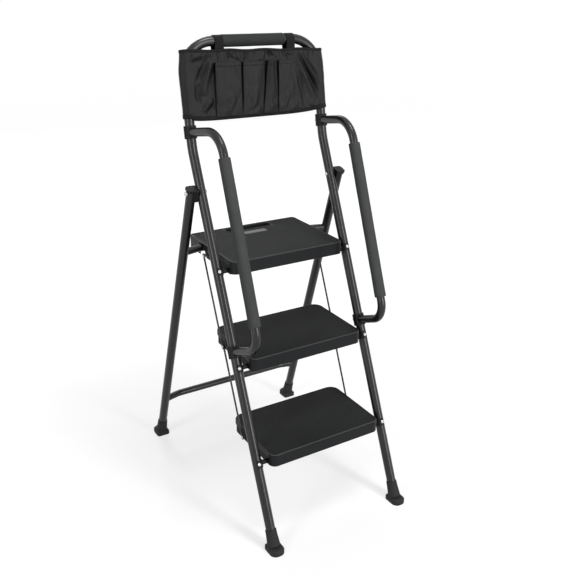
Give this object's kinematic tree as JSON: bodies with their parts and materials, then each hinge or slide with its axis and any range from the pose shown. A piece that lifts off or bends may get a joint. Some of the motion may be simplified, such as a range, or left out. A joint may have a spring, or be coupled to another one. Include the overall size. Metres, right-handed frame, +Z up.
{
  "type": "folding step stool",
  "caption": "Folding step ladder with a bent tube front frame, hinged rear legs, wide treads, side handrails with foam grips and a hanging fabric tool bag.",
  "frame": {"origin": "on the floor, midway between the four feet and on the plane of symmetry", "axes": "+Z up, +X to the right of a person who climbs it, +Y from the front feet to the rear feet"},
  "size_m": [0.514, 0.703, 1.2265],
  "materials": {
    "powder_coat": "satin black powder coat on steel tube and sheet",
    "tread_plastic": "moulded charcoal plastic with a fine grain",
    "joint_plastic": "moulded black plastic",
    "foot_rubber": "matt black rubber",
    "grip_foam": "matt dark grey foam rubber",
    "bag_cloth": "satin black woven cloth",
    "bag_webbing": "black woven webbing",
    "zinc_hardware": "bright zinc plated steel",
    "badge_plastic": "bare grey plate"
  },
  "bodies": {
    "front_frame": {"front_frame_tube": "powder_coat", "front_foot_left": "foot_rubber", "front_foot_right": "foot_rubber", "top_bar_grip": "grip_foam", "handrail_left": "powder_coat", "handrail_right": "powder_coat", "handrail_grip_left": "grip_foam", "handrail_grip_right": "grip_foam", "handrail_saddle_upper_left": "joint_plastic", "handrail_saddle_upper_right": "joint_plastic", "handrail_saddle_lower_left": "joint_plastic", "handrail_saddle_lower_right": "joint_plastic", "handrail_rear_saddles": "joint_plastic", "handrail_bolts": "zinc_hardware", "handrail_end_nuts": "zinc_hardware", "hinge_bolts": "zinc_hardware", "hinge_washers": "zinc_hardware", "hinge_nuts": "zinc_hardware", "tool_bag_sleeve": "bag_cloth", "bag_pockets": "bag_cloth", "bag_strap_left": "bag_webbing", "bag_strap_right": "bag_webbing", "step_axles": "zinc_hardware", "axle_rivets": "zinc_hardware", "axle_retainers": "zinc_hardware", "top_pivot_brackets": "joint_plastic", "middle_pivot_brackets": "joint_plastic", "bottom_pivot_brackets": "joint_plastic"},
    "rear_frame": {"rear_leg_left": "powder_coat", "rear_leg_right": "powder_coat", "rear_crossbar_upper": "powder_coat", "rear_crossbar_lower": "powder_coat", "rear_foot_left": "foot_rubber", "rear_foot_right": "foot_rubber", "leg_cap_left": "joint_plastic", "leg_cap_right": "joint_plastic"},
    "top_step": {"top_tread": "tread_plastic", "top_step_tray": "powder_coat", "top_step_bushes": "joint_plastic", "top_link_pins": "zinc_hardware", "top_tread_screws": "zinc_hardware", "crossbar_clips": "joint_plastic", "badge_plate": "badge_plastic"},
    "middle_step": {"middle_tread": "tread_plastic", "middle_step_tray": "powder_coat", "middle_step_bushes": "joint_plastic", "middle_link_pins": "zinc_hardware", "middle_tread_screws": "zinc_hardware"},
    "bottom_step": {"bottom_tread": "tread_plastic", "bottom_step_tray": "powder_coat", "bottom_step_bushes": "joint_plastic", "bottom_link_pins": "zinc_hardware", "bottom_tread_screws": "zinc_hardware"},
    "upper_link_left": {"upper_link_left": "powder_coat"},
    "upper_link_right": {"upper_link_right": "powder_coat"},
    "lower_link_left": {"lower_link_left": "powder_coat"},
    "lower_link_right": {"lower_link_right": "powder_coat"}
  },
  "joints": [
    {"name": "rear_frame_fold", "type": "hinge", "parent": "front_frame", "child": "rear_frame", "pos_m": [0, 0.05604, 0.85695], "axis": [-1, 0, 0], "range_deg": [0, 36]},
    {"name": "top_step_fold", "type": "hinge", "parent": "front_frame", "child": "top_step", "pos_m": [0, -0.02853, 0.667], "axis": [1, 0, 0], "range_deg": [0, 60]},
    {"name": "middle_step_fold", "type": "hinge", "parent": "front_frame", "child": "middle_step", "pos_m": [0, -0.13049, 0.438], "axis": [1, 0, 0], "range_deg": [0, 60]},
    {"name": "bottom_step_fold", "type": "hinge", "parent": "front_frame", "child": "bottom_step", "pos_m": [0, -0.23245, 0.209], "axis": [1, 0, 0], "range_deg": [0, 60]},
    {"name": "upper_link_left_turn", "type": "hinge", "parent": "top_step", "child": "upper_link_left", "pos_m": [0, 0.09347, 0.669], "axis": [1, 0, 0], "range_deg": [-60, 0]},
    {"name": "upper_link_right_turn", "type": "hinge", "parent": "top_step", "child": "upper_link_right", "pos_m": [0, 0.09347, 0.669], "axis": [1, 0, 0], "range_deg": [-60, 0]},
    {"name": "lower_link_left_turn", "type": "hinge", "parent": "middle_step", "child": "lower_link_left", "pos_m": [0, -0.00849, 0.44], "axis": [1, 0, 0], "range_deg": [-60, 0]},
    {"name": "lower_link_right_turn", "type": "hinge", "parent": "middle_step", "child": "lower_link_right", "pos_m": [0, -0.00849, 0.44], "axis": [1, 0, 0], "range_deg": [-60, 0]}
  ],
  "couplings": [
    {"joint": "top_step_fold", "follows": "rear_frame_fold", "ratio": 1.6666},
    {"joint": "middle_step_fold", "follows": "rear_frame_fold", "ratio": 1.6666},
    {"joint": "bottom_step_fold", "follows": "rear_frame_fold", "ratio": 1.6666},
    {"joint": "upper_link_left_turn", "follows": "rear_frame_fold", "ratio": -1.6666},
    {"joint": "upper_link_right_turn", "follows": "rear_frame_fold", "ratio": -1.6666},
    {"joint": "lower_link_left_turn", "follows": "rear_frame_fold", "ratio": -1.6666},
    {"joint": "lower_link_right_turn", "follows": "rear_frame_fold", "ratio": -1.6666}
  ]
}
